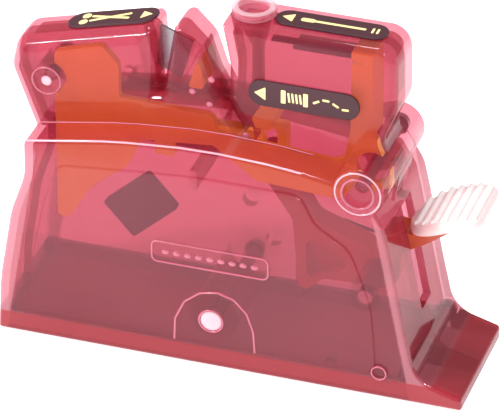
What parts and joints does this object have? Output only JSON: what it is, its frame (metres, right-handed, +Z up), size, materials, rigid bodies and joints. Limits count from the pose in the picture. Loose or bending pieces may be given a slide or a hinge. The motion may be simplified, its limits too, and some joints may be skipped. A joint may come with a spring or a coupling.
{
  "type": "needle threader",
  "caption": "Desk needle threader: a clear case with a needle funnel, a thread gap, a thread cutter notch and a sprung thumb lever that pushes a hooked wire through the eye.",
  "frame": {"origin": "middle of the underside that stands on the table, midway between the case's left and right ends and on the plane where its halves meet", "axes": "+X from the cutter head towards the thumb pad, +Y from the labelled front to the rear, +Z up out of the needle tower"},
  "size_m": [0.1, 0.0299, 0.0772],
  "materials": {
    "clear_pink": "clear polished",
    "yellow": "moulded gloss",
    "orange": "moulded gloss",
    "white_pad": "fine ribbed satin",
    "clear_funnel": "clear polished",
    "label_plum": "printed film",
    "steel": "plated",
    "blade_steel": "ground",
    "spring_steel": "dark wire"
  },
  "bodies": {
    "case": {"front_shell": "clear_pink", "rear_shell": "clear_pink", "inner_frame": "yellow", "lever_axle": "steel", "return_spring": "spring_steel", "guide_rod": "spring_steel", "needle_funnel": "clear_funnel", "needle_leaf": "spring_steel", "needle_seat": "yellow", "thread_guide": "yellow", "cutter_blade": "blade_steel", "needle_magnet": "spring_steel", "cutter_label": "label_plum", "needle_label": "label_plum", "thread_label": "label_plum", "head_screw": "steel", "main_screw": "steel", "base_screw": "steel", "foot_screw": "steel"},
    "thumb_lever": {"thumb_lever": "orange", "thumb_pad": "white_pad", "drive_pin": "steel"},
    "threading_slide": {"threading_slide": "yellow", "threading_hook": "steel"}
  },
  "joints": [
    {"name": "lever_press", "type": "hinge", "parent": "case", "child": "thumb_lever", "pos_m": [0.0276, 0, 0.022], "axis": [0, 1, 0], "range_deg": [0, 14], "stiffness_Nm_per_rad": 0.12, "springref_deg": -5.73, "deforming": ["return_spring"]},
    {"name": "slide_travel", "type": "slide", "parent": "case", "child": "threading_slide", "axis": [1, 0, 0], "range_m": [0, 0.0063]}
  ],
  "couplings": [
    {"joint": "slide_travel", "follows": "lever_press", "m_per_rad": 0.02414}
  ]
}
